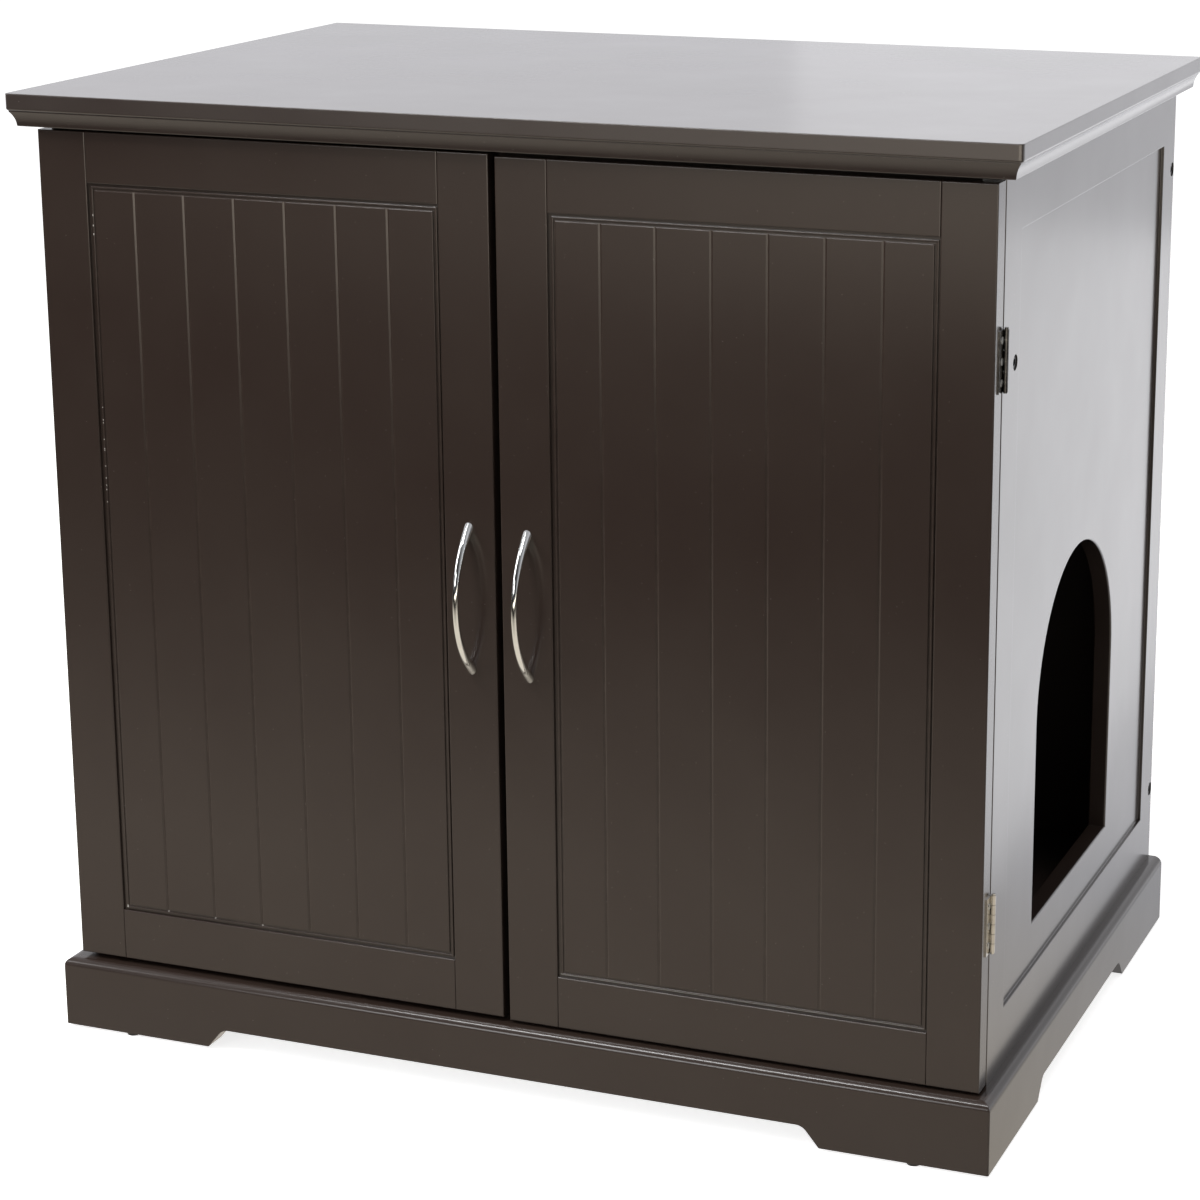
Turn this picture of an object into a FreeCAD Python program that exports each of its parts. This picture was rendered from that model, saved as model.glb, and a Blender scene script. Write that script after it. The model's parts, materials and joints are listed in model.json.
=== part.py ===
import FreeCAD, Part
import math
import os
import re

import Sketcher

# Cat litter box cabinet: a two-door cabinet on a footed plinth, with an arched side entrance.
# Frame: +Z up, the doors face -Y, X runs along the front. The origin is the centre of the
# footprint, on the surface that the glides stand on. Millimetres throughout.

SIZES = {
    # carcass
    "body_width": 653.8,
    "side_depth": 444.5,
    "side_height": 594.7,
    "board": 15.0,
    "back_board": 12.0,
    "front_rail_width": 60.0,
    "rear_rail_width": 60.0,
    # sunk field and arched entrance of a side panel
    "field_sink": 2.3,
    "field_front_margin": 37.0,
    "field_rear_margin": 33.5,
    "field_bottom_margin": 39.6,
    "field_top_margin": 49.2,
    "field_edge_round": 0.5,
    "field_foot_round": 0.6,
    "arch_centre": 209.7,
    "arch_width": 198.0,
    "arch_sill": 69.3,
    "arch_height": 235.2,
    "arch_edge_round": 1.2,
    "side_edge_round": 0.8,
    # top and its cove moulding
    "top_thick": 11.3,
    "top_side_overhang": 17.35,
    "top_front_overhang": 28.0,
    "top_corner_round": 3.2,
    "top_upper_round": 0.5,
    "top_lower_round": 1.6,
    "mould_height": 10.7,
    "mould_inset": 2.0,
    "mould_fillet_height": 0.8,
    "mould_foot_round": 0.8,
    "cove_depth": 3.6,
    "cove_radius": 16.0,
    # plinth
    "plinth_height": 49.0,
    "plinth_board": 18.0,
    "plinth_side_reach": 10.0,
    "plinth_front_reach": 26.2,
    "plinth_top_round": 6.0,
    "plinth_corner_round": 1.2,
    "foot_length": 113.4,
    "side_foot_length": 118.8,
    "foot_cut_height": 14.0,
    "foot_slope": 11.5,
    "foot_round": 9.0,
    "block_size": 30.0,
    "cleat_height": 20.0,
    "block_clear": 4.0,
    "glide_drop": 2.2,
    "glide_radius": 4.8,
    "glide_edge_round": 0.8,
    "glide_nail_radius": 1.2,
    "glide_nail_length": 12.0,
    "glide_front_inset": 50.9,
    "glide_front_setback": 5.5,
    # doors
    "door_thick": 15.0,
    "door_back_gap": 2.0,
    "door_middle_gap": 4.5,
    "door_lift": 3.4,
    "door_top_gap": 2.1,
    "right_door_sag": 1.3,
    "stile_width": 35.2,
    "top_rail_width": 33.8,
    "bottom_rail_width": 36.1,
    "door_edge_round": 0.8,
    "tongue_front": 4.0,
    "tongue_thick": 6.0,
    "tongue_depth": 6.0,
    # beaded panel: quirk, bead, quirk, then the field of boards
    "quirk_floor": 2.0,
    "inner_quirk_floor": 1.4,
    "outer_quirk": 1.7,
    "bead_shift": 0.8,
    "bead_width": 1.5,
    "bead_drop": 0.7,
    "inner_quirk": 1.2,
    "bead_round": 0.6,
    "board_drop": 0.3,
    "board_edge_round": 0.6,
    "vee_count": 6,
    "vee_pitch": 36.7,
    "vee_width": 2.4,
    "vee_depth": 0.65,
    # hinges
    "hinge_length": 38.4,
    "hinge_lower_height": 111.5,
    "hinge_upper_height": 472.0,
    "hinge_axis_out": 2.2,
    "knuckle_radius": 1.7,
    "knuckle_count": 6,
    "knuckle_gap": 0.32,
    "leaf_thick": 0.9,
    "door_leaf_reach": 9.5,
    "cabinet_leaf_reach": 15.2,
    "door_leaf_notch": 1.6,
    "door_tab_stop": 0.3,
    "cabinet_leaf_notch": 2.05,
    "pin_radius": 0.9,
    "pin_clear": 0.05,
    "pin_button_radius": 1.3,
    "pin_button_thick": 0.7,
    "leaf_screw_margin": 6.2,
    "door_screw_inset": 4.5,
    "cabinet_screw_inset": 8.7,
    "leaf_screw_head": 2.3,
    "leaf_screw_shank": 1.1,
    "leaf_screw_proud": 0.25,
    "leaf_screw_length": 10.0,
    # bow handles
    "handle_inset": 18.25,
    "handle_height": 292.2,
    "bow_reach": 22.0,
    "bow_flat_half": 12.0,
    "bow_flat_radius": 64.0,
    "bow_shoulder_radius": 57.0,
    "bow_leg_angle": 47.0,
    "bow_waist_radius": 2.0,
    "bow_foot_radius": 3.3,
    "handle_screw_radius": 1.3,
    "handle_screw_shift": 1.0,
    "handle_screw_entry": 3.0,
    "handle_screw_head": 3.8,
    "handle_screw_head_thick": 1.8,
    # screws through the side panels
    "cap_radius": 5.0,
    "cap_thick": 3.0,
    "cap_sink": 0.8,
    "cap_socket": 2.2,
    "cap_socket_depth": 1.6,
    "side_screw_radius": 3.0,
    "side_screw_length": 34.0,
    "front_screw_length": 7.0,
    "front_screw_setback": 28.0,
    "front_screw_height": 465.0,
    "rear_screw_low": 55.4,
    "rear_screw_high": 525.5,
    # hidden fixings
    "dowel_radius": 3.0,
    "dowel_length": 24.0,
    "dowel_side_depth": 9.0,
    "dowel_inset": 15.0,
    "top_screw_spread": 240.0,
    "top_screw_radius": 1.8,
    "top_screw_head": 3.6,
    "top_screw_head_thick": 1.4,
    "top_screw_bite": 7.0,
    # magnetic catches, strikes and bumpers
    "catch_centre": 24.0,
    "catch_width": 28.0,
    "catch_height": 12.0,
    "catch_depth": 16.0,
    "magnet_width": 18.0,
    "magnet_height": 6.0,
    "magnet_depth": 6.0,
    "magnet_stand": 0.3,
    "catch_ear": 8.0,
    "catch_ear_thick": 2.0,
    "catch_screw_radius": 1.3,
    "catch_screw_head": 2.6,
    "catch_screw_bite": 8.0,
    "catch_screw_head_thick": 1.2,
    "strike_width": 18.0,
    "strike_thick": 0.9,
    "strike_gap": 0.35,
    "bumper_radius": 4.0,
    "bumper_gap": 0.35,
    "bumper_inset": 30.0,
}

doc = FreeCAD.newDocument("CatLitterBoxCabinet")
sheet = doc.addObject("Spreadsheet::Sheet", "Sizes")
for row, (alias, number) in enumerate(SIZES.items(), start=1):
    sheet.set(f"A{row}", alias)
    sheet.set(f"B{row}", str(number))
    sheet.setAlias(f"B{row}", alias)
doc.recompute()

WORD = re.compile(r"[a-z][a-z_]+")
SIDES = {"left": -1, "right": 1}

# Derived places, written once as expressions of the driving sizes.
FACE_Y = "((bow_reach + bow_waist_radius - door_thick - door_back_gap - side_depth) / 2)"
BODY_FRONT = f"({FACE_Y} + door_thick + door_back_gap)"
BODY_REAR = f"({BODY_FRONT} + side_depth)"
SIDE_OUT = "(body_width / 2)"
SIDE_IN = "(body_width / 2 - board)"
INNER_WIDTH = "(body_width - 2 * board)"
PLINTH_TOP = "(glide_drop + plinth_height)"
TOP_UNDER = f"({PLINTH_TOP} + side_height)"
BACK_FRONT = f"({BODY_REAR} - back_board)"

DOOR_HEIGHT = "(side_height - mould_height - door_lift - door_top_gap)"
DOOR_WIDTH = "((body_width - door_middle_gap) / 2)"
OPEN_WIDTH = f"({DOOR_WIDTH} - 2 * stile_width)"
OPEN_HEIGHT = f"({DOOR_HEIGHT} - top_rail_width - bottom_rail_width)"
BEAD_INSET = "(outer_quirk + bead_width)"
FIELD_INSET = "(outer_quirk + bead_width + inner_quirk)"

PLINTH_OUT = "(body_width / 2 + plinth_side_reach)"
PLINTH_IN = "(body_width / 2 + plinth_side_reach - plinth_board)"
PLINTH_FRONT = f"({BODY_FRONT} - plinth_front_reach)"
PLINTH_DEPTH = "(side_depth + plinth_front_reach)"

MOULD_SIDE = "(top_side_overhang - mould_inset)"
MOULD_FRONT = "(top_front_overhang - mould_inset)"

AXIS_X = "(body_width / 2 + hinge_axis_out)"
AXIS_Y = f"({BODY_FRONT} - door_back_gap / 2)"
KNUCKLE_PITCH = "((hinge_length + knuckle_gap) / knuckle_count)"
KNUCKLE_LENGTH = f"({KNUCKLE_PITCH} - knuckle_gap)"
LEAF_SCREW_PITCH = "(hinge_length / 2 - leaf_screw_margin)"
HINGES = ("lower", "upper")


def bound(text):
    """The expression with each size's name pointing at its cell in the sheet."""
    return WORD.sub(lambda m: "Sizes." + m.group() if m.group() in SIZES else m.group(), text)


def value(text):
    """The number that an expression of sizes stands for."""
    return float(sheet.evalExpression(bound(text)))


def bind(obj, place, text):
    obj.setExpression(place, bound(text))


def bind_base(obj, place):
    for letter, text in zip("xyz", place):
        bind(obj, f"Placement.Base.{letter}", text)


TURN = {
    "x": FreeCAD.Rotation(FreeCAD.Vector(0, 1, 0), 90),
    "y": FreeCAD.Rotation(FreeCAD.Vector(1, 0, 0), -90),
    "z": FreeCAD.Rotation(),
}
BACK_TURN = {
    "x": FreeCAD.Rotation(FreeCAD.Vector(0, 1, 0), -90),
    "y": FreeCAD.Rotation(FreeCAD.Vector(1, 0, 0), 90),
    "z": FreeCAD.Rotation(FreeCAD.Vector(1, 0, 0), 180),
}
ROLES = {"z": "XY_Plane", "y": "XZ_Plane", "x": "YZ_Plane"}


class Piece:
    """One body of the cabinet, built in its own coordinates from its low corner."""

    def __init__(self, label, origin):
        self.label = label
        self.body = doc.addObject("PartDesign::Body", label)
        self.body.Label = label
        bind_base(self.body, origin)
        self.count = 0

    def feature(self, kind):
        self.count += 1
        return self.body.newObject("PartDesign::" + kind, f"{self.label}_{kind}_{self.count}")

    def box(self, low, size, cut=False):
        block = self.feature("SubtractiveBox" if cut else "AdditiveBox")
        for side, text in zip(("Length", "Width", "Height"), size):
            bind(block, side, text)
        bind_base(block, low)
        return self

    def rod(self, start, axis, radius, length, cut=False, back=False):
        drum = self.feature("SubtractiveCylinder" if cut else "AdditiveCylinder")
        bind(drum, "Radius", radius)
        bind(drum, "Height", length)
        turn = BACK_TURN if back else TURN
        drum.Placement = FreeCAD.Placement(FreeCAD.Vector(), turn[axis])
        bind_base(drum, start)
        return self

    def cone(self, start, axis, first, last, length, cut=False, back=False):
        taper = self.feature("SubtractiveCone" if cut else "AdditiveCone")
        bind(taper, "Radius1", first)
        bind(taper, "Radius2", last)
        bind(taper, "Height", length)
        turn = BACK_TURN if back else TURN
        taper.Placement = FreeCAD.Placement(FreeCAD.Vector(), turn[axis])
        bind_base(taper, start)
        return self

    def outline(self, axis, points, offset=("0", "0", "0")):
        """A closed sketch across the axis; a point with a third item ends an arc of that radius.

        A positive fourth item puts the arc's centre on the left of its chord.
        """
        self.count += 1
        sketch = self.body.newObject("Sketcher::SketchObject", f"{self.label}_sketch_{self.count}")
        plane = [p for p in self.body.Origin.OriginFeatures if p.Role == ROLES[axis]][0]
        sketch.AttachmentSupport = (plane, [""])
        sketch.MapMode = "FlatFace"
        for letter, text in zip("xyz", offset):
            bind(sketch, f"AttachmentOffset.Base.{letter}", text)
        spots = [FreeCAD.Vector(value(p[0]), value(p[1]), 0) for p in points]
        total = len(points)
        for i in range(total):
            j = (i + 1) % total
            if len(points[j]) > 2:
                sketch.addGeometry(arc_between(spots[i], spots[j], value(points[j][2]), points[j][3]))
            else:
                sketch.addGeometry(Part.LineSegment(spots[i], spots[j]))
        ends = [edge_ends(points[(i + 1) % total]) for i in range(total)]
        for i in range(total):
            j = (i + 1) % total
            sketch.addConstraint(
                Sketcher.Constraint("Coincident", i, ends[i][1], j, ends[j][0]))
        for i, point in enumerate(points):
            for kind, text, on_axis in (("DistanceX", point[0], -2), ("DistanceY", point[1], -1)):
                if text == "0":
                    sketch.addConstraint(
                        Sketcher.Constraint("PointOnObject", i, ends[i][0], on_axis))
                    continue
                number = sketch.addConstraint(
                    Sketcher.Constraint(kind, -1, 1, i, ends[i][0], value(text)))
                bind(sketch, f"Constraints[{number}]", text)
            if len(point) > 2:
                before = (i - 1) % total
                number = sketch.addConstraint(
                    Sketcher.Constraint("Radius", before, value(point[2])))
                bind(sketch, f"Constraints[{number}]", point[2])
        return sketch

    def prism(self, axis, points, length, offset=("0", "0", "0"), cut=False):
        """A straight run of an outline along the positive axis."""
        sketch = self.outline(axis, points, offset)
        run = self.feature("Pocket" if cut else "Pad")
        run.Profile = sketch
        bind(run, "Length", length)
        run.Reversed = (axis == "y") != cut
        return self

    def round_edges(self, radius, *tests):
        """Round every edge of the body so far that passes one of the tests."""
        doc.recompute()
        base = self.body.Tip
        names = [f"Edge{n}" for n, edge in enumerate(base.Shape.Edges, start=1)
                 if any(test(edge) for test in tests)]
        fillet = self.feature("Fillet")
        fillet.Base = (base, names)
        bind(fillet, "Radius", radius)
        return self


def edge_ends(point):
    """Which ends of a sketch edge are its first and last; an arc drawn clockwise is reversed."""
    return (2, 1) if len(point) > 3 and point[3] < 0 else (1, 2)


def arc_between(start, end, radius, hand):
    chord = end - start
    half = chord.Length / 2
    rise = math.sqrt(max(radius ** 2 - half ** 2, 0))
    left = FreeCAD.Vector(-chord.y, chord.x, 0).normalize()
    centre = (start + end) / 2 + left * rise * hand
    circle = Part.Circle(centre, FreeCAD.Vector(0, 0, 1), radius)
    first, last = (start, end) if hand > 0 else (end, start)
    return Part.ArcOfCircle(circle, circle.parameter(first), circle.parameter(last))


def along(axis, **places):
    """A test for straight edges along an axis that lie at the places given."""
    wanted = {letter: value(text) for letter, text in places.items()}

    def test(edge):
        if not isinstance(edge.Curve, (Part.Line, Part.LineSegment)):
            return False
        ends = [v.Point for v in edge.Vertexes]
        run = ends[-1] - ends[0]
        if abs(getattr(run.normalize(), axis)) < 0.999:
            return False
        return all(abs(getattr(end, letter) - number) < 0.01
                   for end in ends for letter, number in wanted.items())
    return test


def lying_in(**places):
    """A test for edges of any shape that lie in a plane."""
    wanted = {letter: value(text) for letter, text in places.items()}

    def test(edge):
        box = edge.BoundBox
        return all(abs(getattr(box, letter.upper() + "Min") - number) < 0.01
                   and abs(getattr(box, letter.upper() + "Max") - number) < 0.01
                   for letter, number in wanted.items())
    return test


def flipped(points, width):
    """The outline mirrored left to right within a width."""
    return [(f"({width} - ({p[0]}))", *p[1:3], *[-hand for hand in p[3:]]) for p in points]


def low_x(side, inner, width):
    """The low X of something that starts at an inner distance from the middle."""
    return inner if side == "right" else f"(-{inner} - {width})"


def rod(name, start, axis, radius, length, back=False):
    drum = doc.addObject("Part::Cylinder", name)
    bind(drum, "Radius", radius)
    bind(drum, "Height", length)
    drum.Placement = FreeCAD.Placement(FreeCAD.Vector(), (BACK_TURN if back else TURN)[axis])
    bind_base(drum, start)
    return drum


def cone(name, start, axis, first, last, length, back=False):
    taper = doc.addObject("Part::Cone", name)
    bind(taper, "Radius1", first)
    bind(taper, "Radius2", last)
    bind(taper, "Height", length)
    taper.Placement = FreeCAD.Placement(FreeCAD.Vector(), (BACK_TURN if back else TURN)[axis])
    bind_base(taper, start)
    return taper


def box(name, low, size):
    block = doc.addObject("Part::Box", name)
    for side, text in zip(("Length", "Width", "Height"), size):
        bind(block, side, text)
    bind_base(block, low)
    return block


def fused(name, shapes):
    whole = doc.addObject("Part::MultiFuse", name)
    whole.Shapes = shapes
    return whole


def less(name, base, tool):
    rest = doc.addObject("Part::Cut", name)
    rest.Base = base
    rest.Tool = tool
    return rest


def gathered(name, items):
    """Identical loose pieces kept together as one node."""
    whole = doc.addObject("Part::Compound", name)
    whole.Links = items
    return whole


NODES = {}


def keep(name, item):
    item.Label = name
    NODES[name] = item


def spot(place, origin):
    """A place in the cabinet's frame written from a body's own origin."""
    return tuple(f"({there} - {here})" for there, here in zip(place, origin))


# ---------------------------------------------------------------- fixing places

def hinge_low(level):
    return f"({PLINTH_TOP} + hinge_{level}_height - hinge_length / 2)"


def leaf_screw_heights(level):
    middle = f"({PLINTH_TOP} + hinge_{level}_height)"
    return [f"({middle} + {step} * {LEAF_SCREW_PITCH})" for step in (-1, 0, 1)]


def door_low(side):
    sag = " - right_door_sag" if side == "right" else ""
    return f"({PLINTH_TOP} + door_lift{sag})"


def handle_middle(side):
    sag = " - right_door_sag" if side == "right" else ""
    return f"({PLINTH_TOP} + handle_height{sag})"


def foot_screw_heights(side):
    return [f"({handle_middle(side)} + {hand} * ({FOOT_REACH} - handle_screw_shift))"
            for hand in (-1, 1)]


FLAT_ANGLE = "(asin(bow_flat_half / bow_flat_radius))"
SHOULDER_HALF = (f"(bow_flat_half + bow_shoulder_radius * "
                 f"(sin(bow_leg_angle) - sin({FLAT_ANGLE})))")
SHOULDER_OUT = (f"(bow_reach - bow_flat_radius * (1 - cos({FLAT_ANGLE})) - "
                f"bow_shoulder_radius * (cos({FLAT_ANGLE}) - cos(bow_leg_angle)))")
FOOT_REACH = f"({SHOULDER_HALF} + {SHOULDER_OUT} / tan(bow_leg_angle))"

HANDLE_X = "(door_middle_gap / 2 + handle_inset)"
DOOR_BACK = f"({FACE_Y} + door_thick)"
CATCH_TOP = f"({TOP_UNDER} - board)"
CATCH_MIDDLE = f"({CATCH_TOP} - catch_height / 2)"
MAGNET_FRONT = f"({DOOR_BACK} + strike_thick + strike_gap)"
CATCH_FRONT = f"({MAGNET_FRONT} + magnet_stand)"
DOWEL_HEIGHT = f"({TOP_UNDER} - board / 2)"
RAIL_FRONTS = {"front": BODY_FRONT, "rear": f"({BACK_FRONT} - rear_rail_width)"}
DOWEL_DEPTHS = [f"({front} + {place})" for kind, front in RAIL_FRONTS.items()
                for place in ("dowel_inset", f"{kind}_rail_width - dowel_inset")]
TOP_SCREW_DEPTHS = [f"({front} + {kind}_rail_width / 2)" for kind, front in RAIL_FRONTS.items()]
SIDE_SCREWS = [
    (f"({BODY_FRONT} + front_screw_setback)", f"({PLINTH_TOP} + front_screw_height)",
     "front_screw_length"),
    (f"({BODY_REAR} - back_board / 2)", f"({PLINTH_TOP} + rear_screw_low)", "side_screw_length"),
    (f"({BODY_REAR} - back_board / 2)", f"({PLINTH_TOP} + rear_screw_high)", "side_screw_length"),
]


# ---------------------------------------------------------------- side panels

def side_panel(side):
    origin = (low_x(side, SIDE_IN, "board"), BODY_FRONT, PLINTH_TOP)
    outer = "board" if side == "right" else "0"
    panel = Piece(f"{side}_side_panel", origin)
    panel.box(("0", "0", "0"), ("board", "side_depth", "side_height"))
    panel.round_edges("side_edge_round", along("z", x=outer, y="0"),
                      along("z", x=outer, y="side_depth"))
    field_x = "board - field_sink" if side == "right" else "0"
    panel.box((field_x, "field_front_margin", "field_bottom_margin"),
              ("field_sink", "side_depth - field_front_margin - field_rear_margin",
               "side_height - field_bottom_margin - field_top_margin"), cut=True)
    field_floor = "board - field_sink" if side == "right" else "field_sink"
    if side == "right":
        spring = "arch_sill + arch_height - arch_width / 2"
        panel.box(("0", "arch_centre - arch_width / 2", "arch_sill"),
                  ("board", "arch_width", "arch_height - arch_width / 2"), cut=True)
        panel.rod(("0", "arch_centre", spring), "x", "arch_width / 2", "board", cut=True)
        inside = value("arch_centre - arch_width / 2") - 1, value("arch_sill") - 1

        def arch_edge(edge):
            low = edge.BoundBox
            flat = low.XMax - low.XMin < 0.01
            return flat and low.YMin > inside[0] and low.ZMin > inside[1] and (
                low.YMax < value("arch_centre + arch_width / 2") + 1
                and low.ZMax < value("arch_sill + arch_height") + 1)
        panel.round_edges("arch_edge_round", arch_edge)
    for depth, radius in ((field_floor, "field_foot_round"), (outer, "field_edge_round")):
        panel.round_edges(radius,
                          along("z", x=depth, y="field_front_margin"),
                          along("z", x=depth, y="side_depth - field_rear_margin"),
                          along("y", x=depth, z="field_bottom_margin"),
                          along("y", x=depth, z="side_height - field_top_margin"))
    back = side == "right"
    for depth, height, length in SIDE_SCREWS:
        place = spot((origin[0], depth, height), origin)
        start = (outer, place[1], place[2])
        panel.rod(start, "x", "cap_radius", "cap_sink + cap_thick", cut=True, back=back)
        shank = "board" if length == "side_screw_length" else f"cap_sink + cap_thick + {length}"
        panel.rod(start, "x", "side_screw_radius", shank, cut=True, back=back)
    inner = "0" if side == "right" else "board"
    for depth in DOWEL_DEPTHS:
        place = spot((origin[0], depth, DOWEL_HEIGHT), origin)
        panel.rod((inner, place[1], place[2]), "x", "dowel_radius", "dowel_side_depth",
                  cut=True, back=not back)
    for level in HINGES:
        for height in leaf_screw_heights(level):
            across = f"{AXIS_X} - cabinet_screw_inset"
            centre = across if side == "right" else f"-({across})"
            place = spot((centre, BODY_FRONT, height), origin)
            panel.rod(place, "y", "leaf_screw_shank", "leaf_screw_length", cut=True)
    keep(f"{side}_side_panel", panel.body)


def side_screws(side):
    hand = SIDES[side]
    back = side == "right"
    items = []
    for number, (depth, height, length) in enumerate(SIDE_SCREWS, start=1):
        name = f"{side}_side_screw_{number}"
        start = (f"({hand} * ({SIDE_OUT} - cap_sink))", depth, height)
        under = (f"({hand} * ({SIDE_OUT} - cap_sink - cap_thick))", depth, height)
        head = rod(f"{name}_head", start, "x", "cap_radius", "cap_thick", back)
        socket = rod(f"{name}_socket", start, "x", "cap_socket", "cap_socket_depth", back)
        shank = rod(f"{name}_shank", under, "x", "side_screw_radius", length, back)
        items.append(fused(name, [less(f"{name}_drilled", head, socket), shank]))
    keep(f"{side}_side_screws", gathered(f"{side}_side_screws", items))


# ---------------------------------------------------------------- carcass boards

def top_panel():
    width = "(body_width + 2 * top_side_overhang)"
    depth = "(side_depth + top_front_overhang)"
    origin = (f"(-{width} / 2)", f"({BODY_FRONT} - top_front_overhang)", TOP_UNDER)
    top = Piece("top_panel", origin)
    top.box(("0", "0", "0"), (width, depth, "top_thick"))
    top.round_edges("top_corner_round", along("z", x="0", y="0"), along("z", x=width, y="0"))
    top.round_edges("top_upper_round", lying_in(z="top_thick"))
    top.round_edges("top_lower_round", along("x", y="0", z="0"))
    for depth_place in TOP_SCREW_DEPTHS:
        for hand in SIDES.values():
            place = spot((f"({hand} * top_screw_spread)", depth_place, TOP_UNDER), origin)
            top.rod(place, "z", "top_screw_radius", "top_screw_bite", cut=True)
    keep("top_panel", top.body)


def cross_rail(kind):
    width = f"{kind}_rail_width"
    origin = (f"(-{SIDE_IN})", RAIL_FRONTS[kind], f"({TOP_UNDER} - board)")
    rail = Piece(f"{kind}_rail", origin)
    rail.box(("0", "0", "0"), (INNER_WIDTH, width, "board"))
    for depth in DOWEL_DEPTHS[:2] if kind == "front" else DOWEL_DEPTHS[2:]:
        place = spot((origin[0], depth, DOWEL_HEIGHT), origin)
        rail.rod(("0", place[1], place[2]), "x", "dowel_radius",
                 "dowel_length - dowel_side_depth", cut=True)
        rail.rod((INNER_WIDTH, place[1], place[2]), "x", "dowel_radius",
                 "dowel_length - dowel_side_depth", cut=True, back=True)
    for hand in SIDES.values():
        centre = f"({hand} * top_screw_spread)"
        place = spot((centre, origin[1], origin[2]), origin)
        rail.rod((place[0], f"{width} / 2", "0"), "z", "top_screw_radius", "board", cut=True)
    if kind == "front":
        for place in catch_screw_places():
            rail.rod(spot(place, origin), "z", "catch_screw_radius", "catch_screw_bite", cut=True)
    keep(f"{kind}_rail", rail.body)


def back_panel():
    origin = (f"(-{SIDE_IN})", BACK_FRONT, PLINTH_TOP)
    back = Piece("back_panel", origin)
    back.box(("0", "0", "0"), (INNER_WIDTH, "back_board", "side_height"))
    for depth, height, length in SIDE_SCREWS[1:]:
        place = spot((origin[0], depth, height), origin)
        reach = f"{length} - (board - cap_sink - cap_thick)"
        back.rod(("0", place[1], place[2]), "x", "side_screw_radius", reach, cut=True)
        back.rod((INNER_WIDTH, place[1], place[2]), "x", "side_screw_radius", reach,
                 cut=True, back=True)
    keep("back_panel", back.body)


def floor_panel():
    origin = (f"(-{SIDE_IN})", BODY_FRONT, PLINTH_TOP)
    floor = Piece("floor_panel", origin)
    floor.box(("0", "0", "0"), (INNER_WIDTH, "side_depth - back_board", "board"))
    keep("floor_panel", floor.body)


def dowels_and_top_screws():
    dowels = []
    for side, hand in SIDES.items():
        start = f"({hand} * ({SIDE_IN} + dowel_side_depth))"
        for number, depth in enumerate(DOWEL_DEPTHS, start=1):
            dowels.append(rod(f"dowel_{side}_{number}", (start, depth, DOWEL_HEIGHT), "x",
                              "dowel_radius", "dowel_length", back=side == "right"))
    keep("rail_dowels", gathered("rail_dowels", dowels))
    screws = []
    for side, hand in SIDES.items():
        for number, depth in enumerate(TOP_SCREW_DEPTHS, start=1):
            name = f"top_screw_{side}_{number}"
            centre = f"({hand} * top_screw_spread)"
            under = f"({TOP_UNDER} - board)"
            head = rod(f"{name}_head", (centre, depth, f"({under} - top_screw_head_thick)"), "z",
                       "top_screw_head", "top_screw_head_thick")
            shank = rod(f"{name}_shank", (centre, depth, under), "z", "top_screw_radius",
                        "board + top_screw_bite")
            screws.append(fused(name, [head, shank]))
    keep("top_screws", gathered("top_screws", screws))


# ---------------------------------------------------------------- cove moulding

COVE = [
    ("cove_depth", "0"),
    ("0", "mould_height - mould_fillet_height", "cove_radius", 1),
    ("0", "mould_height"),
]
MOULD_LOW = f"({TOP_UNDER} - mould_height)"
MOULD_FACE = f"({BODY_FRONT} - {MOULD_FRONT})"


def front_moulding():
    length = f"(body_width + 2 * {MOULD_SIDE})"
    strip = Piece("top_moulding_front", (f"(-{length} / 2)", MOULD_FACE, MOULD_LOW))
    strip.prism("x", COVE + [(MOULD_FRONT, "mould_height"), (MOULD_FRONT, "0")], length)
    strip.round_edges("mould_foot_round", along("x", y="cove_depth", z="0"))
    end = [("0", "0"), (MOULD_SIDE, MOULD_SIDE), (MOULD_SIDE, MOULD_FRONT), ("0", MOULD_FRONT)]
    strip.prism("z", end, "mould_height", cut=True)
    strip.prism("z", flipped(end, length), "mould_height", cut=True)
    keep("top_moulding_front", strip.body)


def side_moulding(side):
    origin = (low_x(side, SIDE_OUT, MOULD_SIDE), MOULD_FACE, MOULD_LOW)
    length = f"(side_depth + {MOULD_FRONT})"
    profile = COVE + [(MOULD_SIDE, "mould_height"), (MOULD_SIDE, "0")]
    foot = "cove_depth"
    end = [("0", "0"), (MOULD_SIDE, "0"), (MOULD_SIDE, MOULD_SIDE)]
    if side == "right":
        profile = flipped(profile, MOULD_SIDE)
        foot = f"{MOULD_SIDE} - {foot}"
        end = flipped(end, MOULD_SIDE)
    strip = Piece(f"top_moulding_{side}", origin)
    strip.prism("y", profile, length)
    strip.round_edges("mould_foot_round", along("y", x=foot, z="0"))
    strip.prism("z", end, "mould_height", cut=True)
    keep(f"top_moulding_{side}", strip.body)


# ---------------------------------------------------------------- plinth

def foot_cut(foot, length):
    return [(foot, "0"), (f"({foot} + foot_slope)", "foot_cut_height"),
            (f"({length} - {foot} - foot_slope)", "foot_cut_height"),
            (f"({length} - {foot})", "0")]


GLIDE_X = "(body_width / 2 + plinth_side_reach - glide_front_inset)"
GLIDE_DEPTHS = {"front": f"({PLINTH_FRONT} + glide_front_setback)",
                "rear": f"({BODY_REAR} - plinth_board / 2)"}


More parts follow.
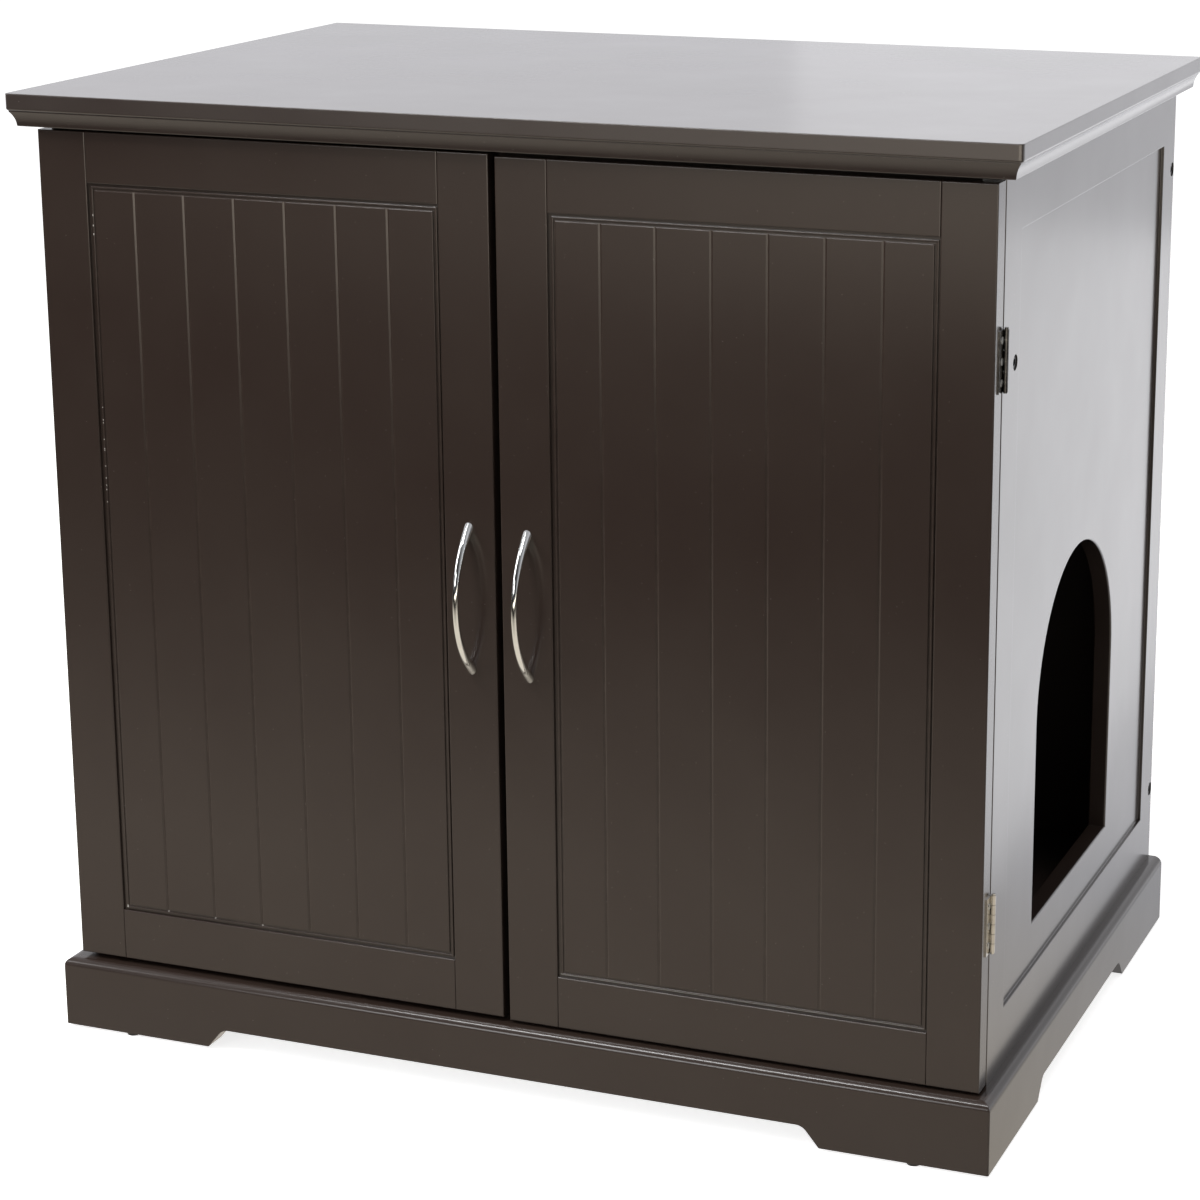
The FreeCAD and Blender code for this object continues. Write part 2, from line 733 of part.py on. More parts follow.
def cross_plinth(kind):
    reach = PLINTH_OUT if kind == "front" else PLINTH_IN
    low_y = PLINTH_FRONT if kind == "front" else f"({BODY_REAR} - plinth_board)"
    origin = (f"(-{reach})", low_y, "glide_drop")
    length = f"(2 * {reach})"
    foot = "foot_length" if kind == "front" else "(foot_length - plinth_board)"
    plank = Piece(f"plinth_{kind}", origin)
    plank.box(("0", "0", "0"), (length, "plinth_board", "plinth_height"))
    plank.prism("y", foot_cut(foot, length), "plinth_board", cut=True)
    plank.round_edges("foot_round",
                      along("y", x=f"{foot} + foot_slope", z="foot_cut_height"),
                      along("y", x=f"{length} - {foot} - foot_slope", z="foot_cut_height"))
    if kind == "front":
        plank.round_edges("plinth_top_round", along("x", y="0", z="plinth_height"))
        plank.round_edges("plinth_corner_round", along("z", x="0", y="0"),
                          along("z", x=length, y="0"))
        end = [("0", "0"), ("plinth_board", "plinth_board"), ("0", "plinth_board")]
        plank.prism("z", end, "plinth_height", cut=True)
        plank.prism("z", flipped(end, length), "plinth_height", cut=True)
    for hand in SIDES.values():
        place = spot((f"({hand} * {GLIDE_X})", GLIDE_DEPTHS[kind], "glide_drop"), origin)
        plank.rod(place, "z", "glide_nail_radius", "glide_nail_length", cut=True)
    keep(f"plinth_{kind}", plank.body)


def side_plinth(side):
    origin = (low_x(side, PLINTH_IN, "plinth_board"), PLINTH_FRONT, "glide_drop")
    outer = "plinth_board" if side == "right" else "0"
    plank = Piece(f"plinth_{side}", origin)
    plank.box(("0", "0", "0"), ("plinth_board", PLINTH_DEPTH, "plinth_height"))
    plank.prism("x", foot_cut("side_foot_length", PLINTH_DEPTH), "plinth_board", cut=True)
    plank.round_edges("foot_round",
                      along("x", y="side_foot_length + foot_slope", z="foot_cut_height"),
                      along("x", y=f"{PLINTH_DEPTH} - side_foot_length - foot_slope",
                            z="foot_cut_height"))
    plank.round_edges("plinth_top_round", along("y", x=outer, z="plinth_height"))
    plank.round_edges("plinth_corner_round", along("z", x=outer, y="0"))
    end = [("0", "0"), ("plinth_board", "0"), ("plinth_board", "plinth_board")]
    plank.prism("z", end if side == "left" else flipped(end, "plinth_board"), "plinth_height",
                cut=True)
    keep(f"plinth_{side}", plank.body)


def plinth_inside():
    blocks = []
    front = f"({PLINTH_FRONT} + plinth_board)"
    rear = f"({BODY_REAR} - plinth_board - block_size)"
    for side in SIDES:
        low = low_x(side, f"({PLINTH_IN} - block_size)", "block_size")
        for kind, depth in (("front", front), ("rear", rear)):
            blocks.append(box(f"corner_block_{kind}_{side}",
                              (low, depth, "glide_drop + block_clear"),
                              ("block_size", "block_size", "plinth_height - block_clear")))
    keep("plinth_corner_blocks", gathered("plinth_corner_blocks", blocks))
    cleat = Piece("floor_cleat", (f"(block_size - {PLINTH_IN})", front,
                                  f"({PLINTH_TOP} - cleat_height)"))
    cleat.box(("0", "0", "0"), (f"(2 * {PLINTH_IN} - 2 * block_size)", "block_size",
                                "cleat_height"))
    keep("floor_cleat", cleat.body)
    glides = []
    for side, hand in SIDES.items():
        for kind, depth in GLIDE_DEPTHS.items():
            name = f"glide_{kind}_{side}"
            glide = Piece(name, (f"({hand} * {GLIDE_X})", depth, "0"))
            glide.rod(("0", "0", "0"), "z", "glide_radius", "glide_drop")
            glide.round_edges("glide_edge_round", lying_in(z="0"))
            glide.rod(("0", "0", "glide_drop"), "z", "glide_nail_radius", "glide_nail_length")
            glides.append(glide.body)
    keep("foot_glides", gathered("foot_glides", glides))


# ---------------------------------------------------------------- catches and bumpers

def catch_screw_places():
    return [(f"({hand} * catch_centre + {end} * (catch_width + catch_ear) / 2)",
             f"({CATCH_FRONT} + catch_depth / 2)", CATCH_TOP)
            for hand in SIDES.values() for end in (-1, 1)]


def catches():
    housings = []
    magnets = []
    for side, hand in SIDES.items():
        low = f"({hand} * catch_centre - catch_width / 2)"
        origin = (low, CATCH_FRONT, f"({CATCH_TOP} - catch_height)")
        case = Piece(f"catch_housing_{side}", origin)
        case.box(("0", "0", "0"), ("catch_width", "catch_depth", "catch_height"))
        case.box(("-catch_ear", "0", "catch_height - catch_ear_thick"),
                 ("catch_width + 2 * catch_ear", "catch_depth", "catch_ear_thick"))
        case.box(("(catch_width - magnet_width) / 2", "0", "(catch_height - magnet_height) / 2"),
                 ("magnet_width", "magnet_depth - magnet_stand", "magnet_height"), cut=True)
        for end in ("-catch_ear / 2", "catch_width + catch_ear / 2"):
            case.rod((end, "catch_depth / 2", "catch_height - catch_ear_thick"), "z",
                     "catch_screw_radius", "catch_ear_thick", cut=True)
        housings.append(case.body)
        magnets.append(box(f"catch_magnet_{side}",
                           (f"({hand} * catch_centre - magnet_width / 2)", MAGNET_FRONT,
                            f"({CATCH_MIDDLE} - magnet_height / 2)"),
                           ("magnet_width", "magnet_depth", "magnet_height")))
    keep("catch_housings", gathered("catch_housings", housings))
    keep("catch_magnets", gathered("catch_magnets", magnets))
    screws = []
    for number, (across, depth, height) in enumerate(catch_screw_places(), start=1):
        name = f"catch_screw_{number}"
        under = f"({height} - catch_ear_thick)"
        head = rod(f"{name}_head", (across, depth, f"({under} - catch_screw_head_thick)"), "z",
                   "catch_screw_head", "catch_screw_head_thick")
        shank = rod(f"{name}_shank", (across, depth, under), "z", "catch_screw_radius",
                    "catch_ear_thick + catch_screw_bite")
        screws.append(fused(name, [head, shank]))
    keep("catch_screws", gathered("catch_screws", screws))


def bumpers():
    dots = []
    for side, hand in SIDES.items():
        start = (f"({hand} * bumper_inset)", f"({DOOR_BACK} + bumper_gap)",
                 f"({PLINTH_TOP} + board / 2 + bumper_radius / 4)")
        dots.append(rod(f"door_bumper_{side}", start, "y", "bumper_radius",
                        "door_back_gap - bumper_gap"))
    keep("door_bumpers", gathered("door_bumpers", dots))


# ---------------------------------------------------------------- hinges

def hinge_leaf(side, level, owner):
    """A leaf with every second knuckle of the barrel, placed from the foot of the hinge axis."""
    hand = SIDES[side]
    name = f"{side}_{level}_hinge_{owner}_leaf"
    leaf = Piece(name, (f"({hand} * {AXIS_X})", AXIS_Y, hinge_low(level)))
    if owner == "door":
        strip_x = low_x(side, "(-hinge_axis_out)", "leaf_thick")
        leaf.box((strip_x, "-door_leaf_reach", "0"),
                 ("leaf_thick", "door_leaf_reach - door_leaf_notch", "hinge_length"))
        tab = (strip_x, "-door_leaf_notch"), ("leaf_thick", "door_leaf_notch - door_tab_stop")
    else:
        front = f"({BODY_FRONT} - leaf_thick - {AXIS_Y})"
        reach = "(cabinet_leaf_reach - cabinet_leaf_notch)"
        leaf.box((low_x(side, "(-cabinet_leaf_reach)", reach), front, "0"),
                 (reach, "leaf_thick", "hinge_length"))
        tab = ((low_x(side, "(-cabinet_leaf_notch)", "cabinet_leaf_notch"), front),
               ("cabinet_leaf_notch", "leaf_thick"))
    first = 1 if owner == "door" else 0
    for number in range(first, int(value("knuckle_count")), 2):
        foot = f"({number} * {KNUCKLE_PITCH})"
        leaf.box((*tab[0], foot), (*tab[1], KNUCKLE_LENGTH))
        leaf.rod(("0", "0", foot), "z", "knuckle_radius", KNUCKLE_LENGTH)
    bore = "pin_radius + pin_clear" if owner == "door" else "pin_radius"
    leaf.rod(("0", "0", "0"), "z", bore, "hinge_length", cut=True)
    for step in (-1, 0, 1):
        height = f"(hinge_length / 2 + {step} * {LEAF_SCREW_PITCH})"
        if owner == "door":
            start = (f"({hand} * (leaf_thick - hinge_axis_out))", "-door_screw_inset", height)
            leaf.cone(start, "x", "leaf_screw_head", "leaf_screw_shank", "leaf_thick", cut=True,
                      back=side == "right")
        else:
            start = (f"({-hand} * cabinet_screw_inset)", front, height)
            leaf.cone(start, "y", "leaf_screw_head", "leaf_screw_shank", "leaf_thick", cut=True)
    keep(name, leaf.body)


def hinge_pin(side, level):
    name = f"{side}_{level}_hinge_pin"
    across = f"({SIDES[side]} * {AXIS_X})"
    foot = hinge_low(level)
    low = f"({foot} - pin_button_thick)"
    high = f"({foot} + hinge_length + knuckle_gap)"
    shank = rod(f"{name}_shank", (across, AXIS_Y, foot), "z", "pin_radius",
                "hinge_length + knuckle_gap")
    buttons = [rod(f"{name}_button_{end}", (across, AXIS_Y, place), "z", "pin_button_radius",
                   "pin_button_thick") for end, place in (("low", low), ("high", high))]
    keep(name, fused(name, [shank, *buttons]))


def hinge_screws(side):
    hand = SIDES[side]
    door_screws = []
    cabinet_screws = []
    for level in HINGES:
        for number, height in enumerate(leaf_screw_heights(level), start=1):
            name = f"{side}_{level}_screw_{number}"
            back = side == "right"
            depth = f"({AXIS_Y} - door_screw_inset)"
            face = f"({hand} * ({SIDE_OUT} + leaf_thick))"
            proud = f"({hand} * ({SIDE_OUT} + leaf_thick + leaf_screw_proud))"
            edge = f"({hand} * {SIDE_OUT})"
            door_screws.append(fused(f"{name}_door", [
                rod(f"{name}_door_head", (proud, depth, height), "x", "leaf_screw_head",
                    "leaf_screw_proud", back),
                cone(f"{name}_door_cone", (face, depth, height), "x", "leaf_screw_head",
                     "leaf_screw_shank", "leaf_thick", back),
                rod(f"{name}_door_shank", (edge, depth, height), "x", "leaf_screw_shank",
                    "leaf_screw_length", back)]))
            across = f"({hand} * ({AXIS_X} - cabinet_screw_inset))"
            cabinet_screws.append(fused(f"{name}_cabinet", [
                cone(f"{name}_cabinet_cone", (across, f"({BODY_FRONT} - leaf_thick)", height),
                     "y", "leaf_screw_head", "leaf_screw_shank", "leaf_thick"),
                rod(f"{name}_cabinet_shank", (across, BODY_FRONT, height), "y",
                    "leaf_screw_shank", "leaf_screw_length")]))
    keep(f"{side}_door_hinge_screws", gathered(f"{side}_door_hinge_screws", door_screws))
    keep(f"{side}_cabinet_hinge_screws", gathered(f"{side}_cabinet_hinge_screws",
                                                  cabinet_screws))


# ---------------------------------------------------------------- doors

def door_stile(side, kind):
    inner = kind == "inner"
    start = "(door_middle_gap / 2)" if inner else f"({SIDE_OUT} - stile_width)"
    origin = (low_x(side, start, "stile_width"), FACE_Y, door_low(side))
    stile = Piece(f"{side}_door_{kind}_stile", origin)
    stile.box(("0", "0", "0"), ("stile_width", "door_thick", DOOR_HEIGHT))
    stile.round_edges("door_edge_round", lying_in(y="0"))
    slot_high = (side == "right") == inner
    slot_x = "stile_width - tongue_depth" if slot_high else "0"
    stile.box((slot_x, "tongue_front", "0"), ("tongue_depth", "tongue_thick", DOOR_HEIGHT),
              cut=True)
    hand = SIDES[side]
    if inner:
        for height in foot_screw_heights(side):
            place = spot((f"({hand} * {HANDLE_X})", FACE_Y, height), origin)
            stile.rod(place, "y", "handle_screw_radius", "door_thick", cut=True)
        place = spot((f"({hand} * catch_centre)", DOOR_BACK, CATCH_MIDDLE), origin)
        stile.rod(place, "y", "leaf_screw_shank", "leaf_screw_length", cut=True, back=True)
    else:
        for level in HINGES:
            for height in leaf_screw_heights(level):
                place = spot((f"({hand} * {SIDE_OUT})", f"({AXIS_Y} - door_screw_inset)",
                              height), origin)
                stile.rod(place, "x", "leaf_screw_shank", "leaf_screw_length", cut=True,
                          back=side == "right")
    keep(f"{side}_door_{kind}_stile", stile.body)


def door_rail(side, kind):
    width = f"{kind}_rail_width"
    lift = "0" if kind == "bottom" else f"({DOOR_HEIGHT} - top_rail_width)"
    inner = "(door_middle_gap / 2 + stile_width)"
    origin = (low_x(side, inner, OPEN_WIDTH), FACE_Y, f"({door_low(side)} + {lift})")
    rail = Piece(f"{side}_door_{kind}_rail", origin)
    rail.box(("0", "0", "0"), (OPEN_WIDTH, "door_thick", width))
    rail.round_edges("door_edge_round", lying_in(y="0"))
    rail.box(("-tongue_depth", "tongue_front", "0"),
             (f"{OPEN_WIDTH} + 2 * tongue_depth", "tongue_thick", width))
    slot_z = "0" if kind == "top" else f"{width} - tongue_depth"
    rail.box(("-tongue_depth", "tongue_front", slot_z),
             (f"{OPEN_WIDTH} + 2 * tongue_depth", "tongue_thick", "tongue_depth"), cut=True)
    keep(f"{side}_door_{kind}_rail", rail.body)


def door_panel(side):
    inner = "(door_middle_gap / 2 + stile_width)"
    origin = (low_x(side, inner, OPEN_WIDTH), FACE_Y, f"({door_low(side)} + bottom_rail_width)")
    panel = Piece(f"{side}_door_panel", origin)
    back = "(tongue_front + tongue_thick)"

    def layer(inset, front, rear, cut=False, shift="0"):
        panel.box((f"{inset} + {shift}", front, inset),
                  (f"{OPEN_WIDTH} - 2 * {inset}", f"{rear} - {front}",
                   f"{OPEN_HEIGHT} - 2 * {inset}"), cut)
    layer("0", "quirk_floor", back)
    layer("(-tongue_depth)", "tongue_front", back)
    layer("outer_quirk", "bead_drop", "quirk_floor", shift="bead_shift")
    layer(BEAD_INSET, "bead_drop", "inner_quirk_floor", cut=True, shift="bead_shift")
    layer(FIELD_INSET, "board_drop", "inner_quirk_floor", shift="bead_shift")
    panel.round_edges("bead_round", lying_in(y="bead_drop"))
    panel.round_edges("board_edge_round", lying_in(y="board_drop"))
    middle = f"({OPEN_WIDTH} / 2 - (vee_count - 1) * vee_pitch / 2)"
    vee = [(f"({middle} - vee_width / 2)", "0"), (f"({middle} + vee_width / 2)", "0"),
           (middle, "vee_depth")]
    panel.prism("z", vee, f"{OPEN_HEIGHT} - 2 * {FIELD_INSET}",
                offset=("0", "board_drop", FIELD_INSET), cut=True)
    first = panel.body.Tip
    pattern = panel.feature("LinearPattern")
    pattern.Originals = [first]
    pattern.Direction = ([a for a in panel.body.Origin.OriginFeatures if a.Role == "X_Axis"][0],
                         [""])
    bind(pattern, "Length", "(vee_count - 1) * vee_pitch")
    bind(pattern, "Occurrences", "vee_count")
    panel.body.Tip = pattern
    keep(f"{side}_door_panel", panel.body)


def strike(side):
    hand = SIDES[side]
    origin = (f"({hand} * catch_centre - strike_width / 2)", DOOR_BACK,
              f"({CATCH_MIDDLE} - catch_height / 2)")
    plate = Piece(f"{side}_door_strike_plate", origin)
    plate.box(("0", "0", "0"), ("strike_width", "strike_thick", "catch_height"))
    plate.cone(("strike_width / 2", "strike_thick", "catch_height / 2"), "y", "leaf_screw_head",
               "leaf_screw_shank", "strike_thick", cut=True, back=True)
    keep(f"{side}_door_strike_plate", plate.body)
    name = f"{side}_door_strike_screw"
    across = f"({hand} * catch_centre)"
    keep(name, fused(name, [
        cone(f"{name}_cone", (across, f"({DOOR_BACK} + strike_thick)", CATCH_MIDDLE), "y",
             "leaf_screw_head", "leaf_screw_shank", "strike_thick", back=True),
        rod(f"{name}_shank", (across, DOOR_BACK, CATCH_MIDDLE), "y", "leaf_screw_shank",
            "leaf_screw_length", back=True)]))


# ---------------------------------------------------------------- bow handles

def bow_station(travel):
    """Height, reach and lean of the bow's centre line at a distance along it from the middle."""
    flat, shoulder = value("bow_flat_radius"), value("bow_shoulder_radius")
    start, leg = math.radians(value(FLAT_ANGLE)), math.radians(value("bow_leg_angle"))
    if travel <= flat * start:
        lean = travel / flat
        return flat * math.sin(lean), value("bow_reach") - flat * (1 - math.cos(lean)), lean
    if travel <= flat * start + shoulder * (leg - start):
        lean = start + (travel - flat * start) / shoulder
        height = value("bow_flat_half") + shoulder * (math.sin(lean) - math.sin(start))
        out = value(SHOULDER_OUT) + shoulder * (math.cos(lean) - math.cos(leg))
        return height, out, lean
    rest = travel - flat * start - shoulder * (leg - start)
    return (value(SHOULDER_HALF) + rest * math.cos(leg),
            value(SHOULDER_OUT) - rest * math.sin(leg), leg)


def bow_solid():
    flat, shoulder = value("bow_flat_radius"), value("bow_shoulder_radius")
    start, leg = math.radians(value(FLAT_ANGLE)), math.radians(value("bow_leg_angle"))
    whole = flat * start + shoulder * (leg - start) + value(SHOULDER_OUT) / math.sin(leg)
    waist, foot = value("bow_waist_radius"), value("bow_foot_radius")
    steps = 8
    rings = []
    for step in range(-steps - 1, steps + 2):
        travel = whole * abs(step) / steps
        hand = 1 if step > 0 else -1
        height, out, lean = bow_station(travel)
        share = min(travel / whole, 1) ** 2
        centre = FreeCAD.Vector(0, -out, hand * height)
        heading = FreeCAD.Vector(0, hand * math.sin(lean), math.cos(lean))
        rings.append(Part.Wire(Part.makeCircle(waist + (foot - waist) * share, centre, heading)))
    bow = Part.makeLoft(rings, True)
    size = 4 * value("bow_reach")
    behind = Part.makeBox(size, size, 2 * size, FreeCAD.Vector(-size / 2, 0, -size))
    bow = bow.cut(behind)
    for hand in SIDES.values():
        height = hand * value(f"{FOOT_REACH} - handle_screw_shift")
        bow = bow.cut(Part.makeCylinder(
            value("handle_screw_radius"), value("handle_screw_entry"),
            FreeCAD.Vector(0, -value("handle_screw_entry"), height), FreeCAD.Vector(0, 1, 0)))
    return bow


def handle(side):
    hand = SIDES[side]
    bow = doc.addObject("Part::Feature", f"{side}_door_handle")
    bow.Shape = bow_solid()
    across = f"({hand} * {HANDLE_X})"
    bind_base(bow, (across, FACE_Y, handle_middle(side)))
    keep(f"{side}_door_handle", bow)
    screws = []
    for number, height in enumerate(foot_screw_heights(side), start=1):
        name = f"{side}_handle_screw_{number}"
        screws.append(fused(name, [
            rod(f"{name}_head", (across, DOOR_BACK, height), "y", "handle_screw_head",
                "handle_screw_head_thick"),
            rod(f"{name}_shank", (across, f"({FACE_Y} - handle_screw_entry)", height), "y",
                "handle_screw_radius", "door_thick + handle_screw_entry")]))
    keep(f"{side}_door_handle_screws", gathered(f"{side}_door_handle_screws", screws))


# ---------------------------------------------------------------- assembly

top_panel()
front_moulding()
cross_rail("front")
cross_rail("rear")
back_panel()
floor_panel()
dowels_and_top_screws()
cross_plinth("front")
cross_plinth("rear")
plinth_inside()
catches()
bumpers()
for side in SIDES:
    side_panel(side)
    side_screws(side)
    side_moulding(side)
    side_plinth(side)
    for level in HINGES:
        for owner in ("cabinet", "door"):
            hinge_leaf(side, level, owner)
        hinge_pin(side, level)
    hinge_screws(side)
    for kind in ("outer", "inner"):
        door_stile(side, kind)
    for kind in ("top", "bottom"):
        door_rail(side, kind)
    door_panel(side)
    strike(side)
    handle(side)
doc.recompute()

os.makedirs("parts", exist_ok=True)
for item in doc.Objects:
    if {"Invalid", "Error"} & set(item.State):
        raise RuntimeError(f"{item.Label} did not build: {item.State}")
for name, item in NODES.items():
    if item.Shape.isNull() or not item.Shape.isValid():
        raise RuntimeError(f"{name} has no valid shape")
    item.Shape.exportStep(f"parts/{name}.step")
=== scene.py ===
import json
import math

import bmesh
import bpy
from mathutils import Euler, Matrix, Vector

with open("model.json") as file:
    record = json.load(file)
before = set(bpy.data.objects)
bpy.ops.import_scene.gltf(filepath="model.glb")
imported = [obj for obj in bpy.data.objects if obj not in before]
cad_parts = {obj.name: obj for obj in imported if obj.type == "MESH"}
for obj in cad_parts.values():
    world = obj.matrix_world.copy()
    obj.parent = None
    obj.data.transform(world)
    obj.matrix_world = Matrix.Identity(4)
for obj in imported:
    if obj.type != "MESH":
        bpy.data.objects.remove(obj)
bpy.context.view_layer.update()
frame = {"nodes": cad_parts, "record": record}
NODES = frame["nodes"]
MM = 0.001

# ------------------------------------------------------------------ camera
# The photograph's view: a long lens, right of the front and a little above the top.
PHOTO_SIDE = 1200
FOCAL_PIXELS = 3206.6
AXIS_PIXEL = (690.9, 535.4)
SENSOR_MM = 36.0
CAMERA_PLACE = (0.8343, -2.02345, 0.9185)
CAMERA_AZIMUTH = math.radians(21.242)
CAMERA_ELEVATION = math.radians(14.979)
CAMERA_ROLL = math.radians(-0.15)


def add_camera():
    lens = bpy.data.cameras.new("photo_camera")
    lens.sensor_width = SENSOR_MM
    lens.lens = FOCAL_PIXELS * SENSOR_MM / PHOTO_SIDE
    lens.shift_x = (PHOTO_SIDE / 2 - AXIS_PIXEL[0]) / PHOTO_SIDE
    lens.shift_y = (AXIS_PIXEL[1] - PHOTO_SIDE / 2) / PHOTO_SIDE
    lens.clip_end = 50.0
    camera = bpy.data.objects.new("photo_camera", lens)
    camera.location = CAMERA_PLACE
    turn = Euler((math.pi / 2 - CAMERA_ELEVATION, 0, CAMERA_AZIMUTH)).to_matrix()
    roll = Matrix.Rotation(CAMERA_ROLL, 3, "Z")
    camera.rotation_euler = (turn @ roll).to_euler()
    bpy.context.scene.collection.objects.link(camera)
    bpy.context.scene.camera = camera


# ------------------------------------------------------------------ node helpers
def new_material(name):
    material = bpy.data.materials.new(name)
    material.use_nodes = True
    tree = material.node_tree
    tree.nodes.clear()
    return material, tree


def put(tree, kind, **settings):
    """A node with its own settings and the numbers for its inputs, named by socket."""
    node = tree.nodes.new(kind)
    for name, setting in settings.pop("own", {}).items():
        setattr(node, name, setting)
    for name, number in settings.get("inputs", {}).items():
        node.inputs[name].default_value = number
    return node


def wire(tree, source, target):
    tree.links.new(source, target)


def new_group(name, inputs, outputs):
    """An empty shader group; inputs and outputs are (name, kind, value) and (name, kind)."""
    group = bpy.data.node_groups.new(name, "ShaderNodeTree")
    for socket, kind, number in inputs:
        made = group.interface.new_socket(socket, in_out="INPUT", socket_type=kind)
        if number is not None:
            made.default_value = number
    for socket, kind in outputs:
        group.interface.new_socket(socket, in_out="OUTPUT", socket_type=kind)
    return group, group.nodes.new("NodeGroupInput"), group.nodes.new("NodeGroupOutput")


def place_group(tree, group, **numbers):
    node = tree.nodes.new("ShaderNodeGroup")
    node.node_tree = group
    for name, number in numbers.items():
        node.inputs[name.replace("_", " ")].default_value = number
    return node


FLOAT = "NodeSocketFloat"
VECTOR = "NodeSocketVector"


def noise(tree, point, scale, detail=3.0, roughness=0.5):
    node = put(tree, "ShaderNodeTexNoise",
               inputs={"Scale": scale, "Detail": detail, "Roughness": roughness})
    wire(tree, point, node.inputs["Vector"])
    return node.outputs["Fac"]


def ramp(tree, source, low, high, to_low=0.0, to_high=1.0):
    node = put(tree, "ShaderNodeMapRange",
               inputs={"From Min": low, "From Max": high, "To Min": to_low, "To Max": to_high})
    wire(tree, source, node.inputs["Value"])
    return node.outputs["Result"]


def maths(tree, how, first, second):
    node = put(tree, "ShaderNodeMath", own={"operation": how})
    for socket, source in zip(node.inputs, (first, second)):
        if isinstance(source, (int, float)):
            socket.default_value = source
        else:
            wire(tree, source, socket)
    return node.outputs[0]


# ------------------------------------------------------------------ shared effects
def make_orange_peel():
    """The fine waviness that sprayed lacquer dries with, over a trace of the board's grain."""
    group, come, go = new_group(
        "orange_peel",
        [("Point", VECTOR, None), ("Wave Scale", FLOAT, 900.0), ("Grain", FLOAT, 0.4)],
        [("Height", FLOAT), ("Mottle", FLOAT)])
    waves = put(group, "ShaderNodeTexNoise", inputs={"Detail": 1.0, "Roughness": 0.4})
    wire(group, come.outputs["Point"], waves.inputs["Vector"])
    wire(group, come.outputs["Wave Scale"], waves.inputs["Scale"])
    long_way = put(group, "ShaderNodeMapping")
    long_way.inputs["Scale"].default_value = (420.0, 420.0, 6.0)
    wire(group, come.outputs["Point"], long_way.inputs["Vector"])
    grain = noise(group, long_way.outputs["Vector"], 1.0, 3.0, 0.6)
    kept = maths(group, "MULTIPLY", grain, come.outputs["Grain"])
    wire(group, maths(group, "ADD", waves.outputs["Fac"], kept), go.inputs["Height"])
    broad = noise(group, come.outputs["Point"], 9.0, 3.0, 0.55)
    wire(group, ramp(group, broad, 0.3, 0.7), go.inputs["Mottle"])
    return group


def make_edge_wear_and_highlight():
    """A mask of the arrises, broken up so that it comes and goes: where lacquer is rubbed thin, and
    where metal gets painted highlights.
    """
    group, come, go = new_group(
        "edge_wear_and_highlight",
        [("Point", VECTOR, None), ("Radius", FLOAT, 0.001), ("Breakup Scale", FLOAT, 60.0),
         ("Amount", FLOAT, 0.5)],
        [("Mask", FLOAT), ("Soft Normal", VECTOR)])
    soft = put(group, "ShaderNodeBevel", own={"samples": 4})
    wire(group, come.outputs["Radius"], soft.inputs["Radius"])
    wire(group, soft.outputs["Normal"], go.inputs["Soft Normal"])
    sharp = group.nodes.new("ShaderNodeNewGeometry")
    dot = put(group, "ShaderNodeVectorMath", own={"operation": "DOT_PRODUCT"})
    wire(group, soft.outputs["Normal"], dot.inputs[0])
    wire(group, sharp.outputs["Normal"], dot.inputs[1])
    edge = ramp(group, dot.outputs["Value"], 0.995, 0.9)
    broken = put(group, "ShaderNodeTexNoise", inputs={"Detail": 4.0, "Roughness": 0.7})
    wire(group, come.outputs["Point"], broken.inputs["Vector"])
    wire(group, come.outputs["Breakup Scale"], broken.inputs["Scale"])
    patchy = ramp(group, broken.outputs["Fac"], 0.45, 0.75)
    worn = maths(group, "MULTIPLY", edge, patchy)
    wire(group, maths(group, "MULTIPLY", worn, come.outputs["Amount"]), go.inputs["Mask"])
    return group


def make_dust():
    """Sparse pale specks of settled dust."""
    group, come, go = new_group(
        "dust_specks",
        [("Point", VECTOR, None), ("Speck Scale", FLOAT, 220.0), ("Size", FLOAT, 0.05),
         ("Amount", FLOAT, 0.5)],
        [("Mask", FLOAT)])
    cells = put(group, "ShaderNodeTexVoronoi")
    wire(group, come.outputs["Point"], cells.inputs["Vector"])
    wire(group, come.outputs["Speck Scale"], cells.inputs["Scale"])
    near = maths(group, "LESS_THAN", cells.outputs["Distance"], come.outputs["Size"])
    chosen = put(group, "ShaderNodeSeparateColor")
    wire(group, cells.outputs["Color"], chosen.inputs["Color"])
    rare = maths(group, "GREATER_THAN", chosen.outputs[0], 0.72)
    speck = maths(group, "MULTIPLY", near, rare)
    wire(group, maths(group, "MULTIPLY", speck, come.outputs["Amount"]), go.inputs["Mask"])
    return group


def make_pale_dots_and_highlights():
    """Pale dots on a door's front, ahead of a limit and in a window of X and Z; large enough, they
    fill the window as a painted highlight.
    """
    group, come, go = new_group(
        "pale_dots_and_highlights",
        [("Point", VECTOR, None), ("Left", FLOAT, 0.0), ("Right", FLOAT, 0.0),
         ("Low", FLOAT, 0.0), ("High", FLOAT, 0.0), ("Size", FLOAT, 0.08),
         ("Front Limit", FLOAT, -0.215)],
        [("Mask", FLOAT)])
    parts = put(group, "ShaderNodeSeparateXYZ")
    wire(group, come.outputs["Point"], parts.inputs[0])
    across, depth, up = parts.outputs["X"], parts.outputs["Y"], parts.outputs["Z"]
    spot_cells = put(group, "ShaderNodeTexVoronoi", own={"voronoi_dimensions": "1D"},
                inputs={"Scale": 150.0})
    wire(group, up, spot_cells.inputs["W"])
    mask = maths(group, "LESS_THAN", spot_cells.outputs["Distance"], come.outputs["Size"])
    for how, value, limit in (("GREATER_THAN", across, "Left"), ("LESS_THAN", across, "Right"),
                              ("GREATER_THAN", up, "Low"), ("LESS_THAN", up, "High"),
                              ("LESS_THAN", depth, "Front Limit")):
        inside = maths(group, how, value, come.outputs[limit])
        mask = maths(group, "MULTIPLY", mask, inside)
    wire(group, mask, go.inputs["Mask"])
    return group


ORANGE_PEEL = make_orange_peel()
EDGE_WEAR_AND_HIGHLIGHT = make_edge_wear_and_highlight()
DUST = make_dust()
PALE_DOTS_AND_HIGHLIGHTS = make_pale_dots_and_highlights()


